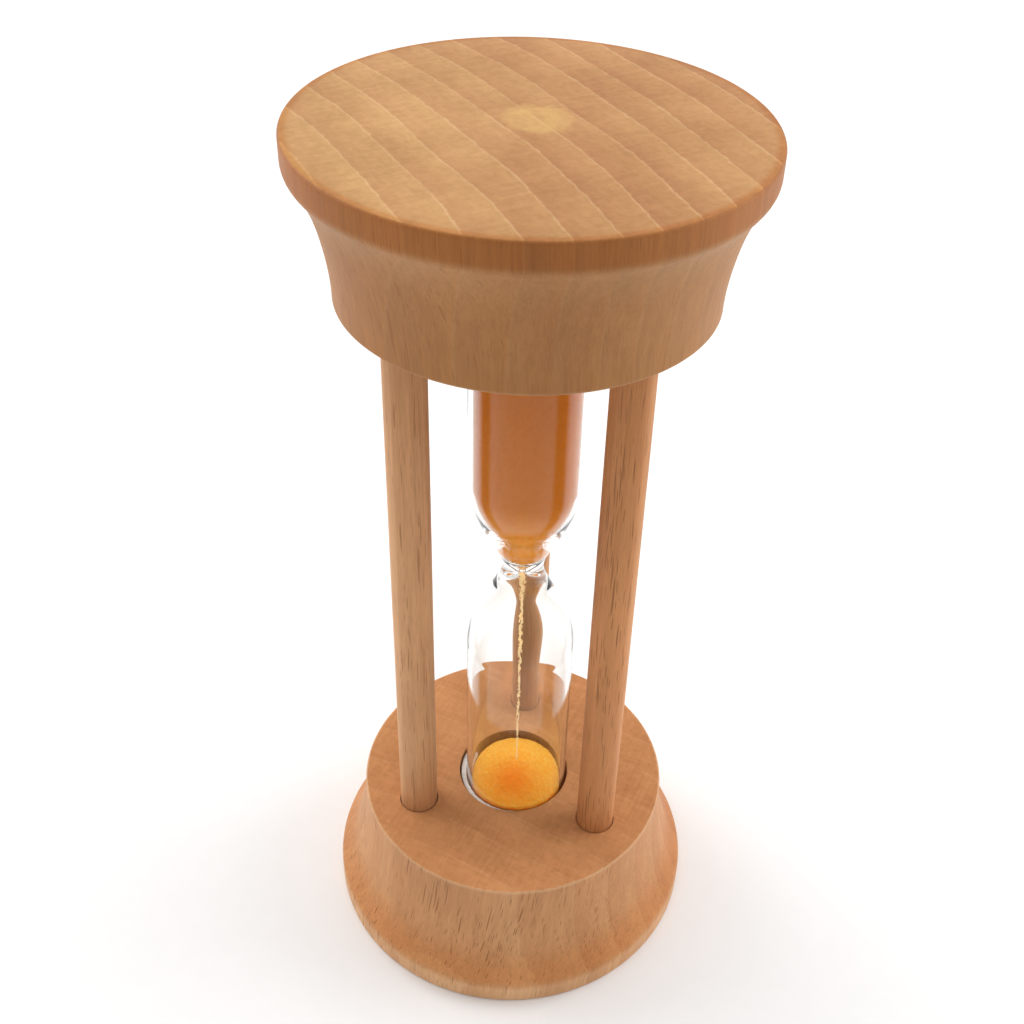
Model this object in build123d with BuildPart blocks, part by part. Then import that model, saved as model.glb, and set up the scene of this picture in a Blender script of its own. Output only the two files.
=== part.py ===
"""Small sand timer: two turned beech caps, three dowels and a sealed glass vial of sand.

Units are millimetres. The origin is the centre of the base cap's outer face, +Z is up,
and the rear post stands on +Y. The timer is the same both ways up.
"""
from build123d import *
from math import cos, radians, sin
import os

# Whole timer
total_height = 108.0
mid_height = total_height / 2

# Caps: turned with a rim band at the outer face and a long cove up to the inner face
cap_height = 17.3
cap_radius = 23.5
cap_inner_radius = 19.6
cap_overhang = cap_radius - cap_inner_radius
rim_edge_break = 0.35
rim_band_height = 2.45
rim_corner_radius = 1.5
rim_corner_turn = 40.0
arris_break = 0.15

# Posts: straight dowels glued into blind sockets
post_radius = 2.35
post_circle_radius = 13.3
post_chamfer = 0.3
socket_radius = 2.47
socket_depth = 10.0
post_angles = {"post_rear": 90.0, "post_front_left": 210.0, "post_front_right": 330.0}

# Seats that hold the ends of the vial
seat_radius = 7.2
seat_depth = 10.8

# Vial: one blown tube with a drawn neck, pushed to one side of its seats by the foam
vial_offset = 0.42
vial_offset_angle = -30.0
vial_end_height = 7.5
vial_radius = 6.55
vial_wall = 0.6
bore_radius = vial_radius - vial_wall

# Shoulders as (radius, height above the neck), from the neck to the straight tube
glass_shoulder = [(2.45, 0.0), (3.75, 3.8), (5.6, 8.0), (vial_radius, 12.6)]
bore_shoulder = [(0.45, 0.0), (1.7, 1.4), (3.05, 3.8), (4.95, 8.0), (bore_radius, 12.6)]

# Foam: a dished pad under each end of the vial and a strip along one side of it
pad_radius = 5.6
pad_thickness = 2.6
foam_clearance = 0.05
strip_outer_radius = 7.05
strip_shift = 0.35
strip_height = 8.2
strip_below_face = 0.35
strip_start_angle = 158.0
strip_end_angle = 305.0

# Sand, with the levels part of the way through a run
sand_clearance = 0.12
upper_sand_level = 84.0
surface_thickness = 1.2
pit_depth = 0.9
pit_radius = 4.4
lower_sand_level = 17.2
heap_rise = 2.5
heap_skirt = 0.4
surface_gap = 0.05
sand_tip_above_neck = 0.8
stream_radius = 0.28

vial_x = vial_offset * cos(radians(vial_offset_angle))
vial_y = vial_offset * sin(radians(vial_offset_angle))
vial_half_length = mid_height - vial_end_height
vial_axis = Axis((vial_x, vial_y, 0), (0, 0, 1))


def section_at(height):
    """Vertical plane through the vial's axis: its x is the radius and its y is the height above this one."""
    return Plane(origin=(vial_x, vial_y, height), x_dir=(1, 0, 0), z_dir=(0, -1, 0))


def bulb_shape(profile, inset, half_length):
    """Solid of revolution with two round-ended bulbs that meet at a neck, drawn in from a shoulder profile."""
    tube = profile[-1][0] - inset
    with BuildPart() as shape:
        with BuildSketch(section_at(mid_height)):
            with BuildLine():
                shoulder = Spline(
                    *[(radius - inset, height) for radius, height in profile],
                    tangents=[(0, 1), (0, 1)],
                )
                side = Line(shoulder @ 1, (tube, half_length - tube))
                end = CenterArc((0, half_length - tube), tube, 0, 90)
                Line(end @ 1, (0, 0))
                Line((0, 0), shoulder @ 0)
            make_face()
            mirror(about=Plane.XZ)
        revolve(axis=vial_axis)
    return shape.part


def sand_between(low, high):
    """The sand that fills the bore between two heights, clear of the glass."""
    with BuildPart() as sand:
        add(
            bulb_shape(
                bore_shoulder,
                sand_clearance,
                vial_half_length - vial_wall - sand_clearance,
            )
        )
        with BuildSketch(Plane.XY.offset(low)):
            Circle(cap_radius)
        extrude(amount=high - low, mode=Mode.INTERSECT)
    return sand.part


# Base cap, standing on its outer face with its seat and sockets opening upwards
with BuildPart() as base_cap:
    with BuildSketch(Plane.XZ):
        with BuildLine():
            face = Line((0, 0), (cap_radius - rim_edge_break, 0))
            edge = TangentArc(
                face @ 1,
                (cap_radius, rim_edge_break),
                tangent=(1, 0),
            )
            band = Line(edge @ 1, (cap_radius, rim_band_height))
            corner = CenterArc(
                (cap_radius - rim_corner_radius, rim_band_height),
                rim_corner_radius,
                0,
                rim_corner_turn,
            )
            cove_end = (cap_inner_radius, cap_height - arris_break)
            Spline(
                corner @ 1,
                (cap_inner_radius + 0.48 * cap_overhang, 0.37 * cap_height),
                (cap_inner_radius + 0.18 * cap_overhang, 0.62 * cap_height),
                cove_end,
                tangents=[corner % 1, (0, 1)],
            )
            arris = Line(cove_end, (cap_inner_radius - arris_break, cap_height))
            inner = Line(arris @ 1, (0, cap_height))
            Line(inner @ 1, (0, 0))
        make_face()
    revolve(axis=Axis.Z)
    with BuildSketch(Plane.XY.offset(cap_height)):
        Circle(seat_radius)
    extrude(amount=-seat_depth, mode=Mode.SUBTRACT)
    with BuildSketch(Plane.XY.offset(cap_height)):
        with PolarLocations(post_circle_radius, len(post_angles), start_angle=90):
            Circle(socket_radius)
    extrude(amount=-socket_depth, mode=Mode.SUBTRACT)

# Top cap: the same piece turned over
with BuildPart() as top_cap:
    mirror(base_cap.part, about=Plane.XY.offset(mid_height))

# Posts
post_foot = cap_height - socket_depth
posts = {}
for name, angle in post_angles.items():
    foot = (
        post_circle_radius * cos(radians(angle)),
        post_circle_radius * sin(radians(angle)),
        post_foot,
    )
    with BuildPart() as post:
        with BuildSketch(Plane(origin=foot)):
            Circle(post_radius)
        extrude(amount=total_height - 2 * post_foot)
        ends = post.faces().filter_by(Axis.Z).edges()
        chamfer(ends, length=post_chamfer)
    posts[name] = post

# Glass vial, hollow all the way from one round end to the other
with BuildPart() as glass_vial:
    add(bulb_shape(glass_shoulder, 0, vial_half_length))
    add(
        bulb_shape(bore_shoulder, 0, vial_half_length - vial_wall),
        mode=Mode.SUBTRACT,
    )

# Foam pad in the lower seat, dished by the round end of the vial
seat_floor = cap_height - seat_depth
with BuildPart() as lower_foam_pad:
    with BuildSketch(Plane.XY.offset(seat_floor)):
        with Locations((vial_x, vial_y)):
            Circle(pad_radius)
    extrude(amount=pad_thickness)
    with BuildSketch(section_at(vial_end_height + vial_radius)):
        Circle(vial_radius + foam_clearance)
        with Locations((-vial_radius, 0)):
            Rectangle(2 * vial_radius, 4 * vial_radius, mode=Mode.SUBTRACT)
    revolve(axis=vial_axis, mode=Mode.SUBTRACT)

# Foam strip in the lower seat: thickest where it pushes the vial, squeezed thin at both ends
strip_foot = cap_height - strip_below_face - strip_height
strip_centre_x = vial_x - strip_shift * cos(radians(vial_offset_angle))
strip_centre_y = vial_y - strip_shift * sin(radians(vial_offset_angle))
strip_sweep = strip_end_angle - strip_start_angle
with BuildPart() as lower_foam_strip:
    with BuildSketch(Plane(origin=(vial_x, vial_y, strip_foot))):
        with BuildLine():
            wedge = CenterArc((0, 0), 2 * seat_radius, strip_start_angle, strip_sweep)
            Line((0, 0), wedge @ 0)
            Line((0, 0), wedge @ 1)
        make_face()
    extrude(amount=strip_height)
    with BuildSketch(Plane.XY.offset(strip_foot)):
        with Locations((strip_centre_x, strip_centre_y)):
            Circle(strip_outer_radius)
    extrude(amount=strip_height, mode=Mode.INTERSECT)
    with BuildSketch(Plane.XY.offset(strip_foot)):
        with Locations((vial_x, vial_y)):
            Circle(vial_radius + foam_clearance)
    extrude(amount=strip_height, mode=Mode.SUBTRACT)

# The same foam in the upper seat
with BuildPart() as upper_foam_pad:
    mirror(lower_foam_pad.part, about=Plane.XY.offset(mid_height))
with BuildPart() as upper_foam_strip:
    mirror(lower_foam_strip.part, about=Plane.XY.offset(mid_height))

# Sand still to run, from the neck up to just under its surface
surface_foot = upper_sand_level - surface_thickness
with BuildPart() as upper_sand:
    add(sand_between(mid_height + sand_tip_above_neck, surface_foot - surface_gap))

# Surface of the upper sand, with the shallow pit that forms over the neck
with BuildPart() as upper_sand_surface:
    with BuildSketch(section_at(surface_foot)):
        with BuildLine():
            Polyline(
                (0, 0),
                (bore_radius - sand_clearance, 0),
                (bore_radius - sand_clearance, surface_thickness),
                (pit_radius, surface_thickness),
                (0, surface_thickness - pit_depth),
                close=True,
            )
        make_face()
    revolve(axis=vial_axis)

# Sand that has run: a bed in the round end, and the heap on it
with BuildPart() as lower_sand_bed:
    add(sand_between(vial_end_height, lower_sand_level - heap_skirt - surface_gap))
with BuildPart() as lower_sand_heap:
    with BuildSketch(section_at(lower_sand_level - heap_skirt)):
        with BuildLine():
            foot = Line((0, 0), (bore_radius - sand_clearance, 0))
            skirt = Line(foot @ 1, (bore_radius - sand_clearance, heap_skirt))
            crown = Spline(
                skirt @ 1,
                (0.5 * bore_radius, heap_skirt + 0.62 * heap_rise),
                (0, heap_skirt + heap_rise),
                tangents=[(-1, 0.75), (-1, 0)],
            )
            Line(crown @ 1, (0, 0))
        make_face()
    revolve(axis=vial_axis)

# Falling thread of sand, from the neck to the top of the heap
stream_top = mid_height + sand_tip_above_neck - surface_gap
stream_foot = lower_sand_level + heap_rise + surface_gap
with BuildPart() as sand_stream:
    with BuildSketch(Plane(origin=(vial_x, vial_y, stream_foot))):
        Circle(stream_radius)
    extrude(amount=stream_top - stream_foot)

pieces = {
    "base_cap": base_cap,
    "top_cap": top_cap,
    "glass_vial": glass_vial,
    "lower_foam_pad": lower_foam_pad,
    "upper_foam_pad": upper_foam_pad,
    "lower_foam_strip": lower_foam_strip,
    "upper_foam_strip": upper_foam_strip,
    "upper_sand": upper_sand,
    "upper_sand_surface": upper_sand_surface,
    "lower_sand_bed": lower_sand_bed,
    "lower_sand_heap": lower_sand_heap,
    "sand_stream": sand_stream,
}
pieces.update(posts)
os.makedirs("parts", exist_ok=True)
for name, piece in pieces.items():
    piece.part.label = name
    export_step(piece.part, f"parts/{name}.step")
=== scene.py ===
"""Looks of a small wooden sand timer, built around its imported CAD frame. Metres, +Z up."""
from itertools import combinations
from math import cos, pi, radians, sin, sqrt

import bpy
import numpy as np
from mathutils import Matrix, Vector, noise


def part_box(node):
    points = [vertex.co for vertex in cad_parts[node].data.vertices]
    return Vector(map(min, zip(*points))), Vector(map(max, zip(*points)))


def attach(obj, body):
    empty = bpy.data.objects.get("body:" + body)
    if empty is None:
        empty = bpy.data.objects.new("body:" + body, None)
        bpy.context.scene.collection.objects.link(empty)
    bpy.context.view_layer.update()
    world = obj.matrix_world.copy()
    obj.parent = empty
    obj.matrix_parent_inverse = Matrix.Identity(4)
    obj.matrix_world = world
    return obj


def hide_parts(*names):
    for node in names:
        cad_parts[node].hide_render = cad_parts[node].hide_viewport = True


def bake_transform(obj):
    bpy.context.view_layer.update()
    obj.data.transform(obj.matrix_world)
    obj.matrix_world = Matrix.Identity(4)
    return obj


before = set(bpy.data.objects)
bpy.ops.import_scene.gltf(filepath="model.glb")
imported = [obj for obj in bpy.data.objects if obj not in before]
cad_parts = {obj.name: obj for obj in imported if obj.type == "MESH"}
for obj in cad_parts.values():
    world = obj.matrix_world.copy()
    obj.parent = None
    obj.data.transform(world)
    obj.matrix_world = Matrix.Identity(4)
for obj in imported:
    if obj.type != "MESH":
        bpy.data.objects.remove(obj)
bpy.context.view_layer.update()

MM = 0.001
SEED = 7

# ---------------------------------------------------------------- sizes read from the frame


def extent(node):
    """Lowest corner, highest corner and middle of a CAD node."""
    low, high = (Vector(corner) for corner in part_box(node))
    return low, high, (low + high) / 2


_, base_high, _ = extent("base_cap")
_, top_high, _ = extent("top_cap")
vial_low, vial_high, vial_middle = extent("glass_vial")
CAP_RADIUS = min(base_high.x, base_high.y)
CAP_HEIGHT = base_high.z
TOTAL_HEIGHT = top_high.z
MID_HEIGHT = TOTAL_HEIGHT / 2
VIAL_X, VIAL_Y = vial_middle.x, vial_middle.y
VIAL_RADIUS = (vial_high.x - vial_low.x) / 2
VIAL_HALF = (vial_high.z - vial_low.z) / 2
POSTS = {name: extent(name) for name in ("post_rear", "post_front_left", "post_front_right")}

# Sizes that the boxes don't give, the same as in the CAD part
CAP_INNER_RADIUS = 19.6 * MM
RIM_EDGE_BREAK = 0.35 * MM
RIM_BAND_HEIGHT = 2.45 * MM
RIM_CORNER_RADIUS = 1.5 * MM
RIM_CORNER_TURN = 40.0
ARRIS_BREAK = 0.15 * MM
SEAT_RADIUS = 7.2 * MM
SEAT_DEPTH = 10.8 * MM
SOCKET_RADIUS = 2.47 * MM
SOCKET_DEPTH = 10.0 * MM
VIAL_WALL = 0.6 * MM
BORE_RADIUS = VIAL_RADIUS - VIAL_WALL
SHOULDER_HEIGHT = 12.6 * MM
GLASS_SHOULDER = [(2.45 * MM, 0.0), (3.75 * MM, 3.8 * MM), (5.6 * MM, 8 * MM), (VIAL_RADIUS, SHOULDER_HEIGHT)]
BORE_SHOULDER = [(0.45 * MM, 0.0), (1.7 * MM, 1.4 * MM), (3.05 * MM, 3.8 * MM), (4.95 * MM, 8 * MM)]
BORE_SHOULDER += [(BORE_RADIUS, SHOULDER_HEIGHT)]
SAND_GAP = 0.02 * MM

# Loose sand, which the CAD part only roughs out
PIT_DEPTH = 0.85 * MM
PIT_EDGE = 0.05 * MM
HEAP_SKIRT = 0.4 * MM
CONE_HEIGHT = 13 * MM
THREAD_SWAY = 0.38 * MM
THREAD_GRAINS = 460

# Colours that more than one kind of wood shows
RING_LINE = (0.86, 0.60, 0.33, 1.0)
RAY_FLECK = (0.34, 0.135, 0.048, 1.0)
OPEN_PORE = (0.28, 0.12, 0.045, 1.0)
BROKEN_ARRIS = (0.88, 0.62, 0.38, 1.0)

# ---------------------------------------------------------------- mesh helpers


def new_object(name, mesh):
    """Adds a mesh to the scene as an object."""
    piece = bpy.data.objects.new(name, mesh)
    bpy.context.scene.collection.objects.link(piece)
    return piece


def mesh_from(name, points, faces):
    """A mesh from its points and faces, smooth apart from its sharp edges."""
    mesh = bpy.data.meshes.new(name)
    mesh.from_pydata([tuple(p) for p in points], [], faces)
    mesh.validate()
    mesh.shade_smooth()
    return mesh


def lathe(name, outline, segments, centre=(0.0, 0.0)):
    """Closed surface turned about a vertical line, from an outline of (radius, height) from axis to axis."""
    points, rings = [], []
    for radius, height in outline:
        if radius < 1e-9:
            rings.append([len(points)])
            points.append((centre[0], centre[1], height))
            continue
        rings.append(list(range(len(points), len(points) + segments)))
        for step in range(segments):
            angle = 2 * pi * step / segments
            points.append((centre[0] + radius * cos(angle), centre[1] + radius * sin(angle), height))
    faces = []
    for low, high in zip(rings, rings[1:]):
        for step in range(segments):
            after = (step + 1) % segments
            if len(low) == 1 and len(high) > 1:
                faces.append((low[0], high[after], high[step]))
            elif len(high) == 1 and len(low) > 1:
                faces.append((low[step], low[after], high[0]))
            elif len(low) > 1:
                faces.append((low[step], low[after], high[after], high[step]))
    return new_object(name, mesh_from(name, points, faces))


def line(start, end, steps):
    """Evenly spaced outline points, without the last."""
    return [
        (start[0] + (end[0] - start[0]) * i / steps, start[1] + (end[1] - start[1]) * i / steps)
        for i in range(steps)
    ]


def arc(centre, radius, start_deg, end_deg, steps):
    """Outline points on an arc, with both ends."""
    angles = [radians(start_deg + (end_deg - start_deg) * i / steps) for i in range(steps + 1)]
    return [(centre[0] + radius * cos(a), centre[1] + radius * sin(a)) for a in angles]


def smooth_through(knots, start_slope, end_slope, steps):
    """Cubic curve of radius against height through (radius, height) knots, with given slopes at both ends."""
    radii = np.array([k[0] for k in knots])
    heights = np.array([k[1] for k in knots])
    count = len(knots)
    system, right = np.zeros((count, count)), np.zeros(count)
    system[0, 0] = system[-1, -1] = 1
    right[0], right[-1] = start_slope, end_slope
    for i in range(1, count - 1):
        before, after = heights[i] - heights[i - 1], heights[i + 1] - heights[i]
        system[i, i - 1 : i + 2] = after, 2 * (before + after), before
        right[i] = 3 * (
            after * (radii[i] - radii[i - 1]) / before + before * (radii[i + 1] - radii[i]) / after
        )
    slopes = np.linalg.solve(system, right)
    curve = []
    for i in range(count - 1):
        span = heights[i + 1] - heights[i]
        for step in range(steps):
            t = step / steps
            radius = (
                (2 * t**3 - 3 * t**2 + 1) * radii[i]
                + (t**3 - 2 * t**2 + t) * span * slopes[i]
                + (3 * t**2 - 2 * t**3) * radii[i + 1]
                + (t**3 - t**2) * span * slopes[i + 1]
            )
            curve.append((float(radius), float(heights[i] + t * span)))
    return curve + [tuple(knots[-1])]


def applied(piece):
    """Applies a piece's modifiers to its mesh."""
    graph = bpy.context.evaluated_depsgraph_get()
    mesh = bpy.data.meshes.new_from_object(piece.evaluated_get(graph))
    piece.modifiers.clear()
    piece.data = mesh
    return piece


def cut(piece, cutters):
    """Subtracts closed meshes from a piece, and removes them."""
    for cutter in cutters:
        boolean = piece.modifiers.new("cut", "BOOLEAN")
        boolean.operation = "DIFFERENCE"
        boolean.solver = "EXACT"
        boolean.object = cutter
    applied(piece)
    for cutter in cutters:
        bpy.data.objects.remove(cutter)
    return piece


def soften(piece, width, angle=40.0, segments=2):
    """Rounds the sharp edges of a piece a little, and shades it smooth between them."""
    bevel = piece.modifiers.new("soften", "BEVEL")
    bevel.width = width
    bevel.segments = segments
    bevel.limit_method = "ANGLE"
    bevel.angle_limit = radians(angle)
    bevel.harden_normals = False
    applied(piece)
    piece.data.shade_smooth()
    piece.data.set_sharp_from_angle(angle=radians(32))
    return piece


def turned_over(piece, height):
    """Mirrors a piece up and down about a height, and keeps its faces outwards."""
    flip = Matrix.Translation((0, 0, 2 * height)) @ Matrix.Scale(-1, 4, (0, 0, 1))
    piece.data.transform(flip)
    piece.data.flip_normals()
    return piece


def store(piece, name, values):
    """Keeps one number for each vertex, for the material to read."""
    attribute = piece.data.attributes.new(name, "FLOAT", "POINT")
    attribute.data.foreach_set("value", np.array(values, np.float32))


def paint_sand_shade_and_glow(piece, painted_shade, painted_glow):
    """Painted shade and painted light on a piece of sand: how far its colour is turned to a darker red where
    it lies in shade, and how strongly it glows in place of light that doesn't reach it.
    """
    count = len(piece.data.vertices)
    store(piece, "painted_shade", np.broadcast_to(painted_shade, count))
    store(piece, "painted_glow", np.broadcast_to(painted_glow, count))


def coordinates(piece):
    """The vertices of a piece as an array."""
    flat = np.empty(3 * len(piece.data.vertices), np.float32)
    piece.data.vertices.foreach_get("co", flat)
    return flat.reshape(-1, 3).astype(float)


def set_coordinates(piece, points):
    """Moves the vertices of a piece."""
    piece.data.vertices.foreach_set("co", np.asarray(points, np.float32).ravel())
    piece.data.update()


# ---------------------------------------------------------------- node helpers


class Shader:
    """A material's node tree, with short ways to add the nodes that these materials use."""

    def __init__(self, name):
        self.material = bpy.data.materials.new(name)
        self.material.use_nodes = True
        self.tree = self.material.node_tree
        self.tree.nodes.clear()
        self.surface = self.tree.nodes.new("ShaderNodeBsdfPrincipled")
        output = self.tree.nodes.new("ShaderNodeOutputMaterial")
        self.tree.links.new(self.surface.outputs[0], output.inputs["Surface"])

    def node(self, kind, inputs=None, **settings):
        """A node with its settings, and with its inputs set or linked."""
        added = self.tree.nodes.new("ShaderNode" + kind)
        for key, value in settings.items():
            setattr(added, key, value)
        for key, value in (inputs or {}).items():
            self.feed(added.inputs[key], value)
        return added

    def feed(self, socket, value):
        """Links an output to a socket, or sets the socket's own value."""
        if isinstance(value, bpy.types.NodeSocket):
            self.tree.links.new(value, socket)
        else:
            socket.default_value = value

    def math(self, operation, first, second=0.5, clamp=False):
        """A Math node's result."""
        added = self.node("Math", {0: first, 1: second}, operation=operation, use_clamp=clamp)
        return added.outputs[0]

    def ramp(self, value, low, high, out_low=0.0, out_high=1.0, smooth=True):
        """Maps a value's range to another, with its ends held."""
        kind = "SMOOTHSTEP" if smooth else "LINEAR"
        inputs = {"Value": value, "From Min": low, "From Max": high, "To Min": out_low, "To Max": out_high}
        return self.node("MapRange", inputs, interpolation_type=kind, clamp=True).outputs[0]

    def mix(self, share, first, second, blend="MIX"):
        """Mixes two colours."""
        added = self.node("Mix", data_type="RGBA", blend_type=blend, clamp_factor=True)
        self.feed(added.inputs[0], share)
        self.feed(added.inputs[6], first)
        self.feed(added.inputs[7], second)
        return added.outputs[2]

    def place(self, scale=(1, 1, 1), rotation=(0, 0, 0), offset=(0, 0, 0), of=None):
        """The surface's own place in millimetres, turned, moved and stretched."""
        if of is None:
            of = self.node("TexCoord").outputs["Object"]
            of = self.node("VectorMath", {0: of, 1: (1000, 1000, 1000)}, operation="MULTIPLY").outputs[0]
        added = self.node("Mapping", {"Vector": of, "Location": offset, "Rotation": rotation, "Scale": scale})
        return added.outputs[0]

    def noise(self, place, scale=1.0, detail=3.0, roughness=0.55):
        """Noise from 0 to 1."""
        inputs = {"Vector": place, "Scale": scale, "Detail": detail, "Roughness": roughness}
        return self.node("TexNoise", inputs).outputs[0]

    def cells(self, place, scale=1.0):
        """Distance to the nearest of scattered points, and a random colour for each."""
        added = self.node("TexVoronoi", {"Vector": place, "Scale": scale})
        return added.outputs["Distance"], added.outputs["Color"]

    def bump(self, height, strength, distance):
        """Turns a height into a surface normal. The distance is in metres."""
        return self.node("Bump", {"Height": height, "Strength": strength, "Distance": distance}).outputs[0]

    def length(self, first, second):
        """The length of a vector from its two parts."""
        squares = self.math("MULTIPLY", first, first), self.math("MULTIPLY", second, second)
        return self.math("SQRT", self.math("ADD", *squares))

    def attribute(self, name):
        """A number kept on the vertices."""
        return self.node("Attribute", attribute_name=name).outputs["Fac"]


def colour(red, green, blue):
    """An opaque colour."""
    return (red, green, blue, 1.0)


# ---------------------------------------------------------------- materials


def beech(
    name,
    end_light,
    end_dark,
    side_light,
    side_dark,
    ring_angle,
    offset,
    ring_period=4.0,
    ring_lines=1.0,
    hatch=0.5,
    fleck_start=0.5,
    fleck_length=4.5,
    fleck_depth=0.7,
    lean=(0.0, 0.0),
    wear_and_painted_light=None,
):
    """Bare beech with its grain along Z: growth rings, rays that show as dark flecks, pores and fibres.

    The ring angle is the direction in which the rings lie one behind the other, in degrees from +X.
    """
    s = Shader(name)
    turned = s.place(rotation=(radians(lean[0]), radians(lean[1]), radians(-ring_angle)), offset=offset)
    split = s.node("SeparateXYZ", {0: turned})
    across, along_ring, up = split.outputs
    facing = s.node("NewGeometry").outputs["Normal"]
    end_grain = s.ramp(s.math("ABSOLUTE", s.node("SeparateXYZ", {0: facing}).outputs[2]), 0.80, 0.93)
    ring_normal = (cos(radians(ring_angle)), sin(radians(ring_angle)), 0.0)
    facing_rings = s.node("VectorMath", {0: facing, 1: ring_normal}, operation="DOT_PRODUCT").outputs["Value"]
    flat_sawn = s.ramp(s.math("ABSOLUTE", facing_rings), 0.25, 0.8, 0.3, 1.0)

    # Growth rings: nearly flat shells around a pith far away on one side
    far = s.math("ADD", across, 150.0)
    radius = s.length(far, along_ring)
    slow = s.noise(s.place((0.055, 0.028, 0.006), of=turned), detail=2.0)
    jagged = s.noise(s.place((0.5, 0.7, 0.02), of=turned), detail=3.0, roughness=0.7)
    wander = s.math("ADD", s.math("MULTIPLY", slow, 3.4), s.math("MULTIPLY", jagged, 0.60))
    rings = s.math("DIVIDE", s.math("ADD", radius, wander), ring_period)
    phase = s.math("FRACT", rings)
    from_middle = s.math("ABSOLUTE", s.math("SUBTRACT", phase, 0.5))
    from_boundary = s.math("MULTIPLY", s.math("SUBTRACT", 0.5, from_middle), ring_period)
    boundary = s.ramp(from_boundary, 0.03, 0.19, 1.0, 0.0)
    latewood = s.ramp(phase, 0.0, 1.0, 1.0, 0.0, smooth=False)

    # Broad patches of yellower and redder wood
    patches = s.noise(s.place((0.05, 0.035, 0.02), offset=(3.1, 8.2, 1.7), of=turned), detail=2.0)
    # A steady drift from lighter to darker across the rings; on the top cap it leaves the front left lighter,
    # partly the wood's own tone and partly painted light
    drift = s.ramp(across, -20.0 + offset[0], 20.0 + offset[0], smooth=False)
    tone = s.math("MULTIPLY", s.ramp(patches, 0.3, 0.7), 0.35)
    tone = s.math("ADD", tone, s.math("MULTIPLY", latewood, 0.42))
    tone = s.math("ADD", tone, s.math("MULTIPLY", drift, 0.45), clamp=True)
    base = s.mix(end_grain, s.mix(tone, side_light, side_dark), s.mix(tone, end_light, end_dark))
    line_strength = s.ramp(end_grain, 0.0, 1.0, 0.04, 0.22 * ring_lines, smooth=False)
    fading = s.noise(s.place((0.2, 0.2, 0.05), offset=(9.0, 4.0, 2.0), of=turned), detail=2.0)
    line_strength = s.math("MULTIPLY", line_strength, s.ramp(fading, 0.25, 0.6, 0.35, 1.0))
    base = s.mix(s.math("MULTIPLY", boundary, line_strength), base, RING_LINE)

    # Fibres: fine streaks along the grain, which are specks where it is cut across
    fibres = s.noise(s.place((5.0, 5.0, 0.2), of=turned), detail=4.0, roughness=0.7)
    streaks = s.noise(s.place((1.3, 1.3, 0.03), of=turned), detail=3.0, roughness=0.6)
    depth = s.ramp(end_grain, 0.0, 1.0, 0.09, 0.035, smooth=False)
    fibre_tone = s.math("MULTIPLY", s.ramp(fibres, 0.3, 0.7, -1.0, 1.0), depth)
    fibre_tone = s.math("ADD", s.math("ADD", fibre_tone, 0.99), s.ramp(streaks, 0.3, 0.7, -0.06, 0.06))

    # Where it is cut across, rays and rows of vessels make a fine hatching
    rays = s.noise(s.place((0.10, 2.1, 0.05), of=turned), detail=3.0, roughness=0.65)
    rows = s.noise(s.place((1.9, 0.22, 0.05), of=turned), detail=3.0, roughness=0.65)
    hatching = s.math("ADD", s.ramp(rays, 0.35, 0.68, -0.5, 0.5), s.ramp(rows, 0.35, 0.68, -0.4, 0.4))
    worked = s.noise(s.place((0.12, 0.12, 0.05), offset=(2.0, 6.0, 1.0), of=turned))
    worked = s.math("MULTIPLY", s.ramp(worked, 0.3, 0.7, 0.4, 1.0), 0.24 * hatch)
    hatching = s.math("MULTIPLY", s.math("MULTIPLY", hatching, worked), end_grain)
    figure = s.noise(s.place((0.11, 0.11, 0.045), offset=(7.0, 1.0, 5.0), of=turned), detail=3.0)
    shade = s.math("ADD", s.math("ADD", fibre_tone, hatching), s.ramp(figure, 0.3, 0.7, -0.09, 0.09))
    warm = {0: s.math("POWER", shade, 0.8), 1: shade, 2: s.math("POWER", shade, 1.3)}
    base = s.mix(1.0, base, s.node("CombineColor", warm).outputs[0], "MULTIPLY")

    # Rays: thin blades in the radial direction, seen as short dark dashes along the grain
    bend = s.noise(s.place((0.25, 0.25, 0.03), of=turned), detail=2.0)
    sideways = s.math("ADD", along_ring, s.math("MULTIPLY", bend, 1.8))
    bent = s.node("CombineXYZ", {0: across, 1: sideways, 2: up})
    crowd = s.ramp(s.noise(s.place((0.10, 0.10, 0.07), of=turned), detail=1.0), 0.3, 0.6, 0.72, 1.0)
    flecks = None
    for size, reach_limit in (((1.2, 4.2, 1.1), 0.45), ((2.1, 6.2, 2.2), 0.42)):
        cell = (size[0], size[1], size[2] / fleck_length)
        distance, pick = s.cells(s.place(cell, of=bent.outputs[0]))
        luck = s.node("SeparateColor", {0: pick}).outputs[0]
        reach = s.math("MULTIPLY", s.ramp(luck, fleck_start, 1.0, 0.0, reach_limit, smooth=False), crowd)
        dash = s.ramp(s.math("SUBTRACT", reach, distance), 0.0, 0.10)
        flecks = dash if flecks is None else s.math("MAXIMUM", flecks, dash)
    flecks = s.math("MULTIPLY", s.math("MULTIPLY", flecks, flat_sawn), s.math("SUBTRACT", 1.0, end_grain))
    base = s.mix(s.math("MULTIPLY", flecks, fleck_depth), base, RAY_FLECK)

    # Pores
    pores, _ = s.cells(s.place((4.6, 4.6, 0.4), of=turned))
    pore = s.ramp(pores, 0.05, 0.28, 1.0, 0.0)
    pore_depth = s.math("MULTIPLY", depth, 2.0)
    base = s.mix(s.math("MULTIPLY", pore, pore_depth), base, OPEN_PORE)
    # A cap's wear and mark, and the light and shade painted on it
    if wear_and_painted_light is not None:
        base = wear_and_painted_light(s, base)

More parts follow.
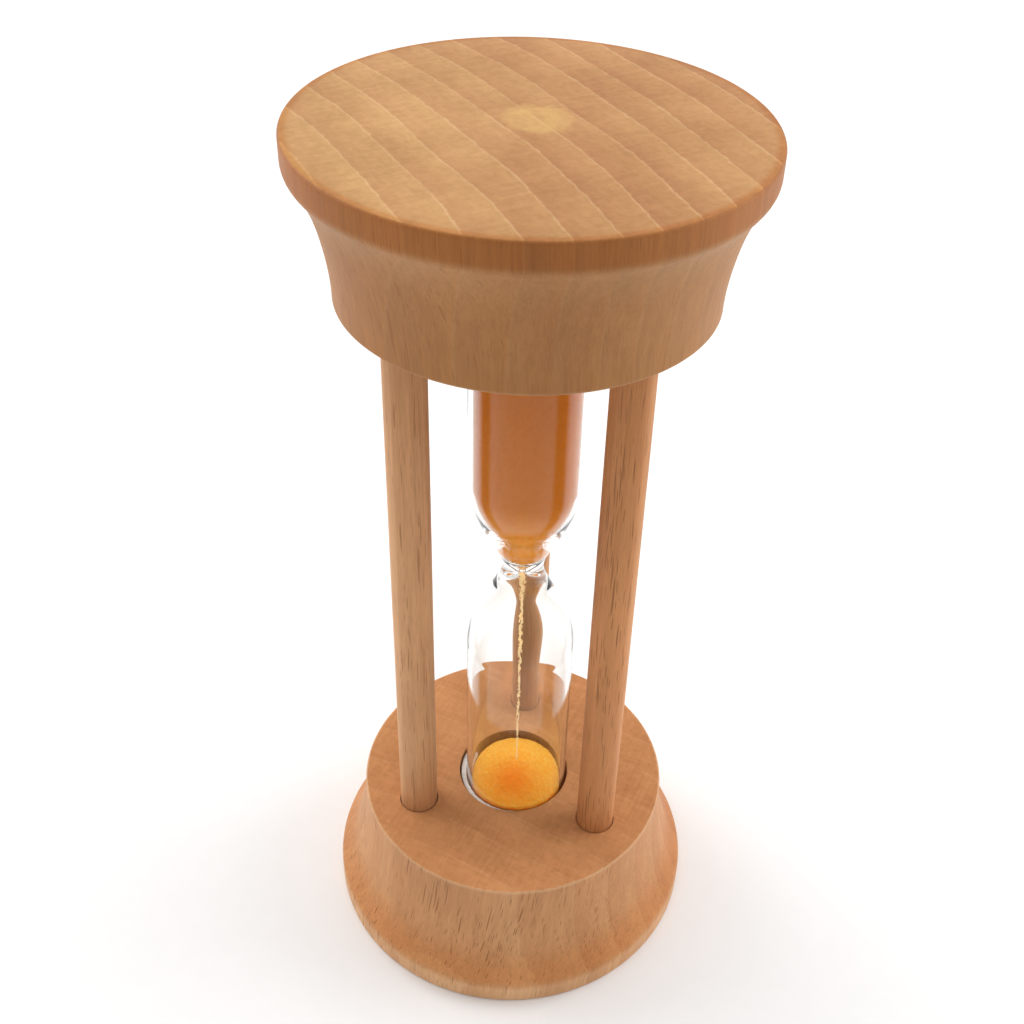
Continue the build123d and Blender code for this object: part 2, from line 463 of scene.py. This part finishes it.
    s.feed(s.surface.inputs["Base Color"], base)
    rough = s.math("ADD", s.ramp(fibres, 0.2, 0.8, 0.50, 0.66), s.math("MULTIPLY", flecks, 0.1))
    rough = s.math("ADD", rough, s.math("MULTIPLY", end_grain, 0.2))
    s.feed(s.surface.inputs["Roughness"], rough)
    s.surface.inputs["Specular IOR Level"].default_value = 0.28
    s.surface.inputs["Sheen Weight"].default_value = 0.05
    s.surface.inputs["Sheen Roughness"].default_value = 0.45
    carved = s.math("ADD", s.math("MULTIPLY", flecks, 0.3), pore)
    lift = s.math("SUBTRACT", s.math("ADD", s.math("MULTIPLY", fibres, 0.7), hatching), carved)
    s.feed(s.surface.inputs["Normal"], s.bump(lift, 0.4, 0.00006))
    return s.material


def cap_wear_and_painted_light(turned_over_cap, painted_band_light, painted_cove_light, wear, marked):
    """A turned cap's wear and mark, with light and shade painted on it: painted light and painted shade on
    its rim band and on the cove by it, then its broken arris, and its mark.
    """

    def wear_and_painted_light(s, base):
        side, back, height = s.node("SeparateXYZ", {0: s.place()}).outputs
        if turned_over_cap:
            height = s.math("SUBTRACT", 1000 * TOTAL_HEIGHT, height)
        reach = s.length(side, back)
        band_edge = 1000 * RIM_BAND_HEIGHT
        uneven = s.noise(s.place((0.35, 0.35, 0.35)), detail=2.0)
        wavy = s.math("ADD", height, s.math("MULTIPLY", uneven, 0.5))
        on_side = s.ramp(reach, 1000 * CAP_RADIUS - 1.2, 1000 * CAP_RADIUS - 0.4)
        # Painted light on the rim band: paler and bluer on the base, for the light it catches from the floor;
        # darker and browner on the top cap, as painted shade
        band = s.math("MULTIPLY", s.ramp(wavy, band_edge, band_edge + 1.0, 1.0, 0.0), on_side)
        base = s.mix(band, base, s.mix(1.0, base, painted_band_light, "MULTIPLY"))
        # Painted light on the cove by the rim: darker and warmer on the base, as painted shade; paler on the
        # top cap, as a painted highlight
        cove = s.ramp(wavy, band_edge + 0.4, band_edge + 1.4)
        cove = s.math("MULTIPLY", cove, s.ramp(wavy, 4.5, 9.0, 1.0, 0.0))
        base = s.mix(cove, base, s.mix(1.0, base, painted_cove_light, "MULTIPLY"))

        arris = s.math("ABSOLUTE", s.math("SUBTRACT", reach, 1000 * CAP_INNER_RADIUS - 0.08))
        torn = s.noise(s.place((1.4, 1.4, 3.0)), detail=3.0)
        edge = s.math("SUBTRACT", s.ramp(torn, 0.3, 0.7, 0.10, 0.26), arris)
        by_face = s.ramp(height, 1000 * CAP_HEIGHT - 0.35, 1000 * CAP_HEIGHT - 0.2)
        worn = s.math("MULTIPLY", s.ramp(edge, 0.0, 0.06), by_face)
        base = s.mix(s.math("MULTIPLY", worn, wear), base, BROKEN_ARRIS)
        return centre_mark(s, base) if marked else base

    return wear_and_painted_light


def centre_mark(s, base):
    """The pale round left in the middle of the top face when it was turned and sanded."""
    split = s.node("SeparateXYZ", {0: s.place()})
    distance = s.length(s.math("SUBTRACT", split.outputs[0], 0.3), s.math("SUBTRACT", split.outputs[1], 1.1))
    uneven = s.noise(s.place((0.7, 0.7, 0.7)), detail=3.0)
    edge = s.math("ADD", distance, s.math("MULTIPLY", uneven, 3.0))
    on_top = s.ramp(split.outputs[2], 1000 * TOTAL_HEIGHT - 1.0, 1000 * TOTAL_HEIGHT - 0.5)
    spot = s.math("MULTIPLY", s.ramp(edge, 4.1, 5.4, 1.0, 0.0), on_top)
    spot = s.math("MULTIPLY", spot, s.ramp(uneven, 0.3, 0.6, 0.35, 0.65))
    return s.mix(spot, base, colour(0.67, 0.41, 0.14))


def blown_glass():
    """Clear glass with the faint waves of a drawn tube."""
    s = Shader("blown_glass")
    waves = s.noise(s.place((0.12, 0.12, 0.035)), detail=1.0)
    smear = s.noise(s.place((0.35, 0.35, 0.12)), detail=3.0)
    s.surface.inputs["Base Color"].default_value = colour(0.975, 0.99, 0.982)
    s.surface.inputs["Transmission Weight"].default_value = 1.0
    s.surface.inputs["IOR"].default_value = 1.5
    s.surface.inputs["Specular Tint"].default_value = colour(0.32, 0.32, 0.32)
    s.feed(s.surface.inputs["Roughness"], s.ramp(smear, 0.45, 0.8, 0.0, 0.012))
    s.feed(s.surface.inputs["Normal"], s.bump(waves, 0.10, 0.0004))
    return s.material


def dyed_sand(name, pale):
    """Fine orange-dyed sand: grains of slightly different orange, matt, with a few pale ones. Painted shade
    turns it a darker red, and it glows as painted light.
    """
    s = Shader(name)
    place = s.place()
    _, grain = s.cells(place, scale=5.6)
    _, coarse = s.cells(place, scale=3.0)
    luck = s.node("SeparateColor", {0: grain})
    drift = s.noise(place, scale=0.35, detail=3.0)
    base = s.mix(luck.outputs[0], colour(0.98, 0.54, 0.065), colour(0.96, 0.36, 0.025))
    base = s.mix(s.ramp(drift, 0.3, 0.75, 0.0, 0.4), base, colour(0.97, 0.42, 0.038))
    base = s.mix(s.ramp(luck.outputs[1], 0.88, 0.96, 0.0, 0.35), base, colour(0.98, 0.62, 0.20))
    base = s.mix(s.ramp(luck.outputs[2], 0.90, 0.98, 0.0, 0.25), base, colour(0.80, 0.20, 0.01))
    # Painted shade: the sand turns a darker red as far as its painted shade attribute says
    painted_shade = s.attribute("painted_shade")
    base = s.mix(s.math("MULTIPLY", painted_shade, 0.9), base, colour(0.93, 0.205, 0.006))
    base = s.mix(pale, base, colour(0.98, 0.84, 0.52))
    s.feed(s.surface.inputs["Base Color"], base)
    # Painted light: the sand glows in its own colour, as strongly as its painted glow attribute says
    s.feed(s.surface.inputs["Emission Color"], base)
    s.feed(s.surface.inputs["Emission Strength"], s.attribute("painted_glow"))
    s.feed(s.surface.inputs["Roughness"], s.ramp(luck.outputs[0], 0.0, 1.0, 0.65, 0.95))
    s.surface.inputs["Specular IOR Level"].default_value = 0.35
    heap = s.math("ADD", luck.outputs[2], s.node("SeparateColor", {0: coarse}).outputs[0])
    s.feed(s.surface.inputs["Normal"], s.bump(heap, 0.40, 0.00006))
    return s.material


def packing_foam():
    """White closed-cell packing foam, a little grey, with fine bubbles."""
    s = Shader("packing_foam")
    place = s.place()
    bubble, pick = s.cells(place, scale=3.2)
    stain = s.noise(place, scale=0.25, detail=3.0)
    base = s.mix(s.ramp(bubble, 0.1, 0.7), colour(0.70, 0.62, 0.57), colour(0.88, 0.82, 0.78))
    base = s.mix(s.ramp(stain, 0.45, 0.75, 0.0, 0.35), base, colour(0.62, 0.52, 0.45))
    s.feed(s.surface.inputs["Base Color"], base)
    s.feed(s.surface.inputs["Roughness"], s.ramp(stain, 0.2, 0.8, 0.75, 0.95))
    s.surface.inputs["Subsurface Weight"].default_value = 0.15
    s.surface.inputs["Subsurface Scale"].default_value = 0.0004
    s.feed(s.surface.inputs["Normal"], s.bump(bubble, 0.5, 0.0001))
    return s.material


# ---------------------------------------------------------------- pieces


def cap_outline():
    """A cap's outline, from the middle of its outer face round to the middle of its inner face."""
    over = CAP_RADIUS - CAP_INNER_RADIUS
    edge_centre = (CAP_RADIUS - RIM_EDGE_BREAK, RIM_EDGE_BREAK)
    corner_centre = (CAP_RADIUS - RIM_CORNER_RADIUS, RIM_BAND_HEIGHT)
    outline = line((0, 0), (edge_centre[0], 0), 6)
    outline += arc(edge_centre, RIM_EDGE_BREAK, -90, 0, 6)[:-1]
    outline += line((CAP_RADIUS, RIM_EDGE_BREAK), (CAP_RADIUS, RIM_BAND_HEIGHT), 5)
    corner = arc(corner_centre, RIM_CORNER_RADIUS, 0, RIM_CORNER_TURN, 8)
    outline += corner[:-1]
    knots = [
        corner[-1],
        (CAP_INNER_RADIUS + 0.48 * over, 0.37 * CAP_HEIGHT),
        (CAP_INNER_RADIUS + 0.18 * over, 0.62 * CAP_HEIGHT),
        (CAP_INNER_RADIUS, CAP_HEIGHT - ARRIS_BREAK),
    ]
    outline += smooth_through(knots, -sin(radians(RIM_CORNER_TURN)) / cos(radians(RIM_CORNER_TURN)), 0.0, 16)
    outline += line((CAP_INNER_RADIUS - ARRIS_BREAK, CAP_HEIGHT), (0, CAP_HEIGHT), 6)
    return outline + [(0, CAP_HEIGHT)]


def bored_cap(name):
    """A turned cap standing on its outer face, with its seat and its three blind sockets."""
    cap = lathe(name, cap_outline(), 240)
    above = CAP_HEIGHT + 2 * MM

    def bore(name, radius, depth, segments, centre=(0.0, 0.0)):
        """A cutter for a blind hole from the cap's inner face."""
        floor = CAP_HEIGHT - depth
        return lathe(name, [(0, floor), (radius, floor), (radius, above), (0, above)], segments, centre)

    cutters = [bore("seat_cutter", SEAT_RADIUS, SEAT_DEPTH, 160)]
    for _, _, middle in POSTS.values():
        cutters.append(bore("socket_cutter", SOCKET_RADIUS, SOCKET_DEPTH, 96, (middle.x, middle.y)))
    cut(cap, cutters)
    soften(cap, 0.09 * MM)
    return cap


def dowel(name, low, high, middle):
    """A straight dowel with broken ends."""
    radius = (high.x - low.x) / 2
    chamfer = 0.3 * MM
    outline = [(0, low.z), (radius - chamfer, low.z)]
    outline += line((radius, low.z + chamfer), (radius, high.z - chamfer), 24)
    outline += [(radius, high.z - chamfer), (radius - chamfer, high.z), (0, high.z)]
    post = lathe(name, outline, 72, (middle.x, middle.y))
    points = coordinates(post)
    for i, point in enumerate(points):
        angle = np.arctan2(point[1] - middle.y, point[0] - middle.x)
        sample = Vector((3.0 * cos(angle), 3.0 * sin(angle), point[2] / (9 * MM)))
        wave = noise.noise(sample + Vector((middle.x, middle.y, 0)) * 900)
        pull = 1 - max(0.0, 0.008 * (wave + 0.4))
        points[i, 0] = middle.x + (point[0] - middle.x) * pull
        points[i, 1] = middle.y + (point[1] - middle.y) * pull
    set_coordinates(post, points)
    post.data.set_sharp_from_angle(angle=radians(32))
    return post


def bulb_side(shoulder, half_length, steps=14):
    """Outline of one bulb as (radius, height above the waist), from its waist to the tip of its round end."""
    tube = shoulder[-1][0]
    side = smooth_through(shoulder, 0.0, 0.0, steps)[:-1]
    side += line(shoulder[-1], (tube, half_length - tube), 12)
    return side + arc((0, half_length - tube), tube, 0, 90, 20)


def vial_outline(shoulder, half_length):
    """Outline of both bulbs, from the lowest tip to the highest."""
    up = bulb_side(shoulder, half_length)
    up[-1] = (0.0, half_length)
    down = [(radius, -height) for radius, height in reversed(up)]
    return [(radius, MID_HEIGHT + height) for radius, height in down[:-1] + up]


def vial():
    """The glass: an outer and an inner surface, both turned about the vial's own axis."""
    outer = vial_outline(GLASS_SHOULDER, VIAL_HALF)
    inner = vial_outline(BORE_SHOULDER, VIAL_HALF - VIAL_WALL)
    shell = lathe("vial_outer", outer, 192, (VIAL_X, VIAL_Y))
    cavity = lathe("vial_inner", inner, 192, (VIAL_X, VIAL_Y))
    cavity.data.flip_normals()
    outer_points = coordinates(shell)
    inner_points = coordinates(cavity)
    faces = [tuple(p.vertices) for p in shell.data.polygons]
    faces += [tuple(v + len(outer_points) for v in p.vertices) for p in cavity.data.polygons]
    points = np.vstack([outer_points, inner_points])
    for used in (shell, cavity):
        bpy.data.objects.remove(used)
    return new_object("blown_vial", mesh_from("blown_vial", points, faces))


def bore_radius_at(height):
    """The bore's radius at a height, less the sand's gap."""
    side = bulb_side(BORE_SHOULDER, VIAL_HALF - VIAL_WALL)
    heights = [h for _, h in side]
    radii = [r for r, _ in side]
    return float(np.interp(abs(height - MID_HEIGHT), heights, radii)) - SAND_GAP


def roughened(piece, amount, size):
    """Moves vertices a little along their normals by smooth noise, so that loose sand isn't machined."""
    normals = [v.normal.copy() for v in piece.data.vertices]
    points = coordinates(piece)
    for i, normal in enumerate(normals):
        sample = Vector(points[i]) / size
        points[i] -= np.array(normal) * amount * (0.5 + noise.noise(sample))
    set_coordinates(piece, points)
    return piece


# ---------------------------------------------------------------- build everything

BASE_WOOD = beech(
    "beech_base",
    # Painted shade: the end grain is redder and darker than the top cap's, for the inner face that lies in
    # the shade under the top cap
    end_light=colour(0.61, 0.275, 0.106),
    end_dark=colour(0.53, 0.222, 0.081),
    side_light=colour(0.66, 0.340, 0.148),
    side_dark=colour(0.56, 0.243, 0.094),
    ring_angle=72.0,
    offset=(11.0, -7.0, 3.0),
    ring_period=5.0,
    ring_lines=0.35,
    hatch=0.55,
    fleck_start=0.30,
    fleck_length=7.5,
    fleck_depth=0.80,
    lean=(4.0, -6.0),
    # Painted light on the rim band, painted shade on the cove above it, and a worn arris
    wear_and_painted_light=cap_wear_and_painted_light(False, colour(1.15, 1.30, 1.46), colour(0.97, 0.84, 0.69), 0.24, False),
)
TOP_WOOD = beech(
    "beech_top",
    end_light=colour(0.595, 0.342, 0.132),
    end_dark=colour(0.440, 0.196, 0.074),
    # Painted shade: the sides are darker and redder than the end grain, for the sides that face down and to
    # the front
    side_light=colour(0.490, 0.205, 0.060),
    side_dark=colour(0.430, 0.195, 0.062),
    ring_angle=37.0,
    offset=(0.0, 0.0, 0.0),
    hatch=0.38,
    fleck_start=0.55,
    fleck_length=8.0,
    fleck_depth=0.5,
    lean=(0.0, 2.0),
    # Painted shade on the rim band, a painted highlight on the cove above it, a worn arris and the centre
    # mark
    wear_and_painted_light=cap_wear_and_painted_light(True, colour(0.92, 0.74, 0.53), colour(1.03, 1.10, 1.20), 0.1, True),
)


def dowel_wood(name, light, dark, ring_angle, offset, fleck_start, fleck_depth):
    """Beech for one dowel."""
    ends = (colour(0.55, 0.25, 0.10), colour(0.45, 0.19, 0.07))
    return beech(
        name, *ends, light, dark, ring_angle, offset,
        fleck_start=fleck_start, fleck_length=9.0, fleck_depth=fleck_depth, ring_period=2.6,
    )


DOWELS = {
    "post_rear": dowel_wood(
        "beech_rear",
        light=colour(0.66, 0.35, 0.16),
        dark=colour(0.58, 0.27, 0.11),
        ring_angle=20.0,
        offset=(5.0, 2.0, 30.0),
        fleck_start=0.45,
        fleck_depth=0.6,
    ),
    "post_front_left": dowel_wood(
        "beech_left",
        light=colour(0.74, 0.41, 0.20),
        dark=colour(0.63, 0.31, 0.135),
        ring_angle=-75.0,
        offset=(-9.0, 4.0, 12.0),
        fleck_start=0.45,
        fleck_depth=0.6,
    ),
    "post_front_right": dowel_wood(
        "beech_right",
        light=colour(0.70, 0.33, 0.13),
        dark=colour(0.57, 0.225, 0.075),
        ring_angle=-100.0,
        offset=(14.0, -3.0, 55.0),
        fleck_start=0.06,
        fleck_depth=0.9,
    ),
}
GLASS = blown_glass()
SAND = dyed_sand("dyed_sand", 0.0)
LOOSE_SAND = dyed_sand("loose_sand", 0.7)
FOAM = packing_foam()


def finish_piece(piece, material, node, body="frame"):
    """Gives a piece its material and its body, and hides the CAD node that it stands for."""
    piece.data.materials.clear()
    piece.data.materials.append(material)
    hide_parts(node)
    if body is not None:
        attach(piece, body)


finish_piece(bored_cap("turned_base_cap"), BASE_WOOD, "base_cap")
finish_piece(turned_over(bored_cap("turned_top_cap"), MID_HEIGHT), TOP_WOOD, "top_cap")
for post_name, (post_low, post_high, post_middle) in POSTS.items():
    post = dowel(post_name.replace("post", "dowel"), post_low, post_high, post_middle)
    finish_piece(post, DOWELS[post_name], post_name)
finish_piece(vial(), GLASS, "glass_vial")

# Foam, in the shape that it is squeezed into, with soft edges and an uneven surface
for end in ("lower", "upper"):
    for kind in ("strip", "pad"):
        node = f"{end}_foam_{kind}"
        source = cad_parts[node]
        foam = new_object(f"{end}_packing_{kind}", source.data.copy())
        foam.data.transform(source.matrix_world)
        remesh = foam.modifiers.new("even", "REMESH")
        remesh.mode = "VOXEL"
        remesh.voxel_size = 0.11 * MM
        applied(foam)
        foam.data.shade_smooth()
        roughened(foam, 0.05 * MM, 0.5 * MM)
        finish_piece(foam, FOAM, node)

# Sand above the neck: its sides stretch and shorten as its surface falls
up_low, up_high, _ = extent("upper_sand")
heights = [up_low.z + (MID_HEIGHT + SHOULDER_HEIGHT - up_low.z) * i / 40 for i in range(41)]
column_outline = [(0, up_low.z)] + [(bore_radius_at(h), h) for h in heights]
column_outline += [(BORE_RADIUS - SAND_GAP, up_high.z), (0, up_high.z)]
column = lathe("sand_column", column_outline, 160, (VIAL_X, VIAL_Y))
column.data.set_sharp_from_angle(angle=radians(50))
column_heights = coordinates(column)[:, 2]
near_neck = np.clip((up_low.z + CONE_HEIGHT - column_heights) / (6 * MM), 0, 1)
# Painted shade and painted light: the column is a darker red high up, and less dark and glowing more towards
# the neck
paint_sand_shade_and_glow(column, 0.88 - 0.35 * near_neck, 0.06 + 0.22 * near_neck)
finish_piece(column, SAND, "upper_sand", body=None)
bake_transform(column)

# Its surface, drawn down into a shallow pit
pit_low, pit_high, _ = extent("upper_sand_surface")
rim = BORE_RADIUS - SAND_GAP
pit_outline = [(0, pit_low.z), (rim, pit_low.z), (rim, pit_high.z - 0.1 * MM)]
for i in range(1, 33):
    share = 1 - i / 33
    depth = PIT_DEPTH * (1 - share) ** 1.3
    pit_outline.append((rim * share, pit_high.z - PIT_EDGE - depth))
pit_outline.append((0, pit_outline[-1][1]))
pit = lathe("sand_surface", pit_outline, 120, (VIAL_X, VIAL_Y))
roughened(pit, 0.12 * MM, 0.45 * MM)
# Painted shade and painted light on the sand's surface
paint_sand_shade_and_glow(pit, 0.50, 0.10)
finish_piece(pit, SAND, "upper_sand_surface", body="upper_level")

# Sand that has run: a bed that grows, under a heap that rides up on it
_, bed_high, _ = extent("lower_sand_bed")
end_centre = MID_HEIGHT - VIAL_HALF + VIAL_WALL + BORE_RADIUS
bed_outline = []
for i in range(17):
    angle = radians(90 * i / 16)
    bed_outline.append((rim * sin(angle), end_centre - rim * cos(angle)))
bed_outline += [(rim, bed_high.z), (0, bed_high.z)]
bed = lathe("sand_bed", bed_outline, 160, (VIAL_X, VIAL_Y))
bed.data.set_sharp_from_angle(angle=radians(50))
# Painted shade and painted light on the bed
paint_sand_shade_and_glow(bed, 0.60, 0.10)
finish_piece(bed, SAND, "lower_sand_bed", body=None)
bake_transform(bed)

heap_low, heap_high, _ = extent("lower_sand_heap")
heap_skirt = heap_low.z + HEAP_SKIRT
heap_outline = [(0, heap_low.z), (rim, heap_low.z)]
for i in range(61):
    share = 1 - i / 60
    rise = (heap_high.z - heap_skirt) * (1 - share**1.7) ** 0.98
    heap_outline.append((rim * share, heap_skirt + rise))
heap_outline[-1] = (0, heap_outline[-1][1])
heap = lathe("sand_heap", heap_outline, 200, (VIAL_X, VIAL_Y))
roughened(heap, 0.10 * MM, 0.55 * MM)
roughened(heap, 0.05 * MM, 0.16 * MM)
heap_points = coordinates(heap)
# Painted shade: a darker, redder patch at the front of the heap; the whole heap also glows as painted light
painted_shade_centre = np.array([VIAL_X - 0.1 * MM, VIAL_Y - 2.9 * MM])
painted_shade_reach = np.array([3.5 * MM, 2.9 * MM])
paint_sand_shade_and_glow(heap, np.exp(-(((heap_points[:, :2] - painted_shade_centre) / painted_shade_reach) ** 2).sum(1)), 0.39)
finish_piece(heap, SAND, "lower_sand_heap", body="lower_level")


def icosahedron():
    """The corners of an icosahedron of radius 1, and its faces wound outwards."""
    golden = (1 + sqrt(5)) / 2
    corners = [(0, 1, golden), (0, 1, -golden), (0, -1, golden), (0, -1, -golden)]
    corners += [(b, c, a) for a, b, c in corners] + [(c, a, b) for a, b, c in corners]
    corners = np.array(corners) / sqrt(1 + golden**2)
    faces = []
    for i, j, k in combinations(range(12), 3):
        sides = corners[j] - corners[i], corners[k] - corners[j], corners[k] - corners[i]
        if max(np.linalg.norm(side) for side in sides) < 1.1:
            outwards = np.dot(np.cross(sides[0], sides[2]), corners[i]) > 0
            faces.append((i, j, k) if outwards else (i, k, j))
    return corners, faces


def falling_thread():
    """The thread of falling sand: an uneven core, wrapped in loose grains."""
    low, high, _ = extent("sand_stream")
    dice = np.random.default_rng(SEED)
    points, faces = [], []
    rings, sides = 150, 10
    for ring in range(rings + 1):
        height = high.z + (low.z - 0.25 * MM - high.z) * ring / rings
        fall = ring / rings
        flow = noise.noise(Vector((0.3, 0.7, height / (0.9 * MM))))
        radius = (0.20 - 0.165 * fall**0.45) * MM * (1 + 0.6 * flow)
        sway = THREAD_SWAY * (0.9 - 0.4 * fall)
        core_x = VIAL_X + sway * noise.noise(Vector((4.1, 0.2, height / (1.3 * MM))))
        core_y = VIAL_Y + sway * noise.noise(Vector((9.4, 3.2, height / (1.3 * MM))))
        for side in range(sides):
            angle = 2 * pi * side / sides
            points.append((core_x + radius * cos(angle), core_y + radius * sin(angle), height))
    for ring in range(rings):
        for side in range(sides):
            after = (side + 1) % sides
            here, below = ring * sides, (ring + 1) * sides
            faces.append((here + side, below + side, below + after, here + after))
    faces.append(tuple(range(sides)))
    faces.append(tuple(reversed(range(rings * sides, (rings + 1) * sides))))
    corners, near = icosahedron()
    for _ in range(THREAD_GRAINS):
        fall = dice.random() ** 1.4
        height = high.z + (low.z - high.z) * fall
        reach = (0.08 + 0.22 * dice.random()) * MM * (1.15 - 0.6 * fall)
        angle = dice.uniform(0, 2 * pi)
        size = dice.uniform(0.06, 0.13) * MM * (1.1 - 0.4 * fall)
        start = len(points)
        spot = (VIAL_X + reach * cos(angle), VIAL_Y + reach * sin(angle), height)
        squeeze = dice.uniform(0.75, 1.1, 3)
        points.extend(tuple(np.array(spot) + corner * squeeze * size) for corner in corners)
        faces.extend(tuple(v + start for v in face) for face in near)
    return new_object("sand_thread", mesh_from("sand_thread", points, faces))


thread = falling_thread()
# Painted light: the falling thread glows
paint_sand_shade_and_glow(thread, 0.0, 0.35)
finish_piece(thread, LOOSE_SAND, "sand_stream", body=None)
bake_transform(thread)

# ---------------------------------------------------------------- floor, light and camera


def studio_floor():
    """A pale seamless floor with a trace of texture, greyer far out in front."""
    half = 3.0
    corners = [(-half, -half, 0), (half, -half, 0), (half, half, 0), (-half, half, 0)]
    floor = new_object("studio_floor", mesh_from("studio_floor", corners, [(0, 1, 2, 3)]))
    s = Shader("pale_floor")
    place = s.place()
    tooth = s.noise(place, scale=0.4, detail=4.0)
    sheet = s.mix(tooth, colour(0.92, 0.92, 0.92), colour(0.95, 0.95, 0.95))
    front = s.ramp(s.node("SeparateXYZ", {0: place}).outputs[1], -60.0, -300.0)
    s.feed(s.surface.inputs["Base Color"], s.mix(front, sheet, colour(0.56, 0.555, 0.55)))
    s.surface.inputs["Roughness"].default_value = 0.9
    s.surface.inputs["Specular IOR Level"].default_value = 0.1
    floor.data.materials.append(s.material)


def area_light(name, place, target, size, power):
    """A square soft light that looks at a point."""
    light = bpy.data.lights.new(name, "AREA")
    light.shape = "SQUARE"
    light.size = size
    light.energy = power
    lamp = bpy.data.objects.new(name, light)
    bpy.context.scene.collection.objects.link(lamp)
    lamp.location = place
    lamp.rotation_euler = (Vector(target) - Vector(place)).to_track_quat("-Z", "Y").to_euler()


def studio_world(front_angle):
    """White all round, and darker low down on the side where the camera stands."""
    world = bpy.data.worlds.new("studio_world")
    bpy.context.scene.world = world
    world.use_nodes = True
    tree = world.node_tree
    tree.nodes.clear()
    add = tree.nodes.new
    coords, dot = add("ShaderNodeTexCoord"), add("ShaderNodeVectorMath")
    dot.operation = "DOT_PRODUCT"
    dot.inputs[1].default_value = (sin(front_angle), -cos(front_angle), 0.0)
    tree.links.new(coords.outputs["Generated"], dot.inputs[0])
    shade = add("ShaderNodeMapRange")
    shade.interpolation_type = "SMOOTHSTEP"
    for key, value in (("From Min", -0.1), ("From Max", 0.6), ("To Min", 0.80), ("To Max", 0.42)):
        shade.inputs[key].default_value = value
    tree.links.new(dot.outputs["Value"], shade.inputs["Value"])
    background, output = add("ShaderNodeBackground"), add("ShaderNodeOutputWorld")
    background.inputs["Color"].default_value = colour(1.0, 1.0, 1.0)
    tree.links.new(shade.outputs[0], background.inputs["Strength"])
    tree.links.new(background.outputs[0], output.inputs["Surface"])


CAMERA_AZIMUTH = radians(6.55)
CAMERA_DISTANCE = 4.982
CAMERA_HEIGHT = 6.671
CAMERA_PAN = radians(1.80)
CAMERA_TILT = radians(37.16)
CAMERA_ROLL = radians(2.87)
CAMERA_LENS = 46.48
CAMERA_SHIFT = (-0.043, -0.043)


def studio_camera():
    """The camera, with its distances in cap radii."""
    lens = bpy.data.cameras.new("camera")
    lens.sensor_width = 36.0
    lens.lens = CAMERA_LENS
    lens.shift_x, lens.shift_y = CAMERA_SHIFT
    lens.clip_start = 0.005
    camera = bpy.data.objects.new("camera", lens)
    bpy.context.scene.collection.objects.link(camera)
    level = Vector((sin(CAMERA_PAN), cos(CAMERA_PAN), 0))
    ahead = cos(CAMERA_TILT) * level - sin(CAMERA_TILT) * Vector((0, 0, 1))
    right = Vector((cos(CAMERA_PAN), -sin(CAMERA_PAN), 0))
    up = right.cross(ahead)
    rolled_right = cos(CAMERA_ROLL) * right + sin(CAMERA_ROLL) * up
    rolled_up = cos(CAMERA_ROLL) * up - sin(CAMERA_ROLL) * right
    turn = Matrix((rolled_right, rolled_up, -ahead)).transposed().to_4x4()
    place = Matrix.Translation((0, -CAMERA_DISTANCE * CAP_RADIUS, CAMERA_HEIGHT * CAP_RADIUS))
    camera.matrix_world = Matrix.Rotation(CAMERA_AZIMUTH, 4, "Z") @ place @ turn
    bpy.context.scene.camera = camera


studio_floor()
studio_world(CAMERA_AZIMUTH)
area_light("overhead", (-0.05, 0.16, 0.62), (0, 0, 0.05), 0.55, 0.7)
area_light("left_softbox", (-0.46, 0.20, 0.34), (0, 0, 0.06), 0.40, 1.5)
area_light("right_softbox", (0.46, 0.16, 0.30), (0, 0, 0.06), 0.40, 1.4)
area_light("front_fill", (-0.06, -0.40, 0.52), (0, 0, 0.05), 0.35, 0.15)
studio_camera()
# Light turns many corners inside the glass wall before it comes out
bpy.context.scene.cycles.glossy_bounces = 12
bpy.context.scene.view_settings.view_transform = "Standard"
bpy.context.scene.view_settings.look = "None"
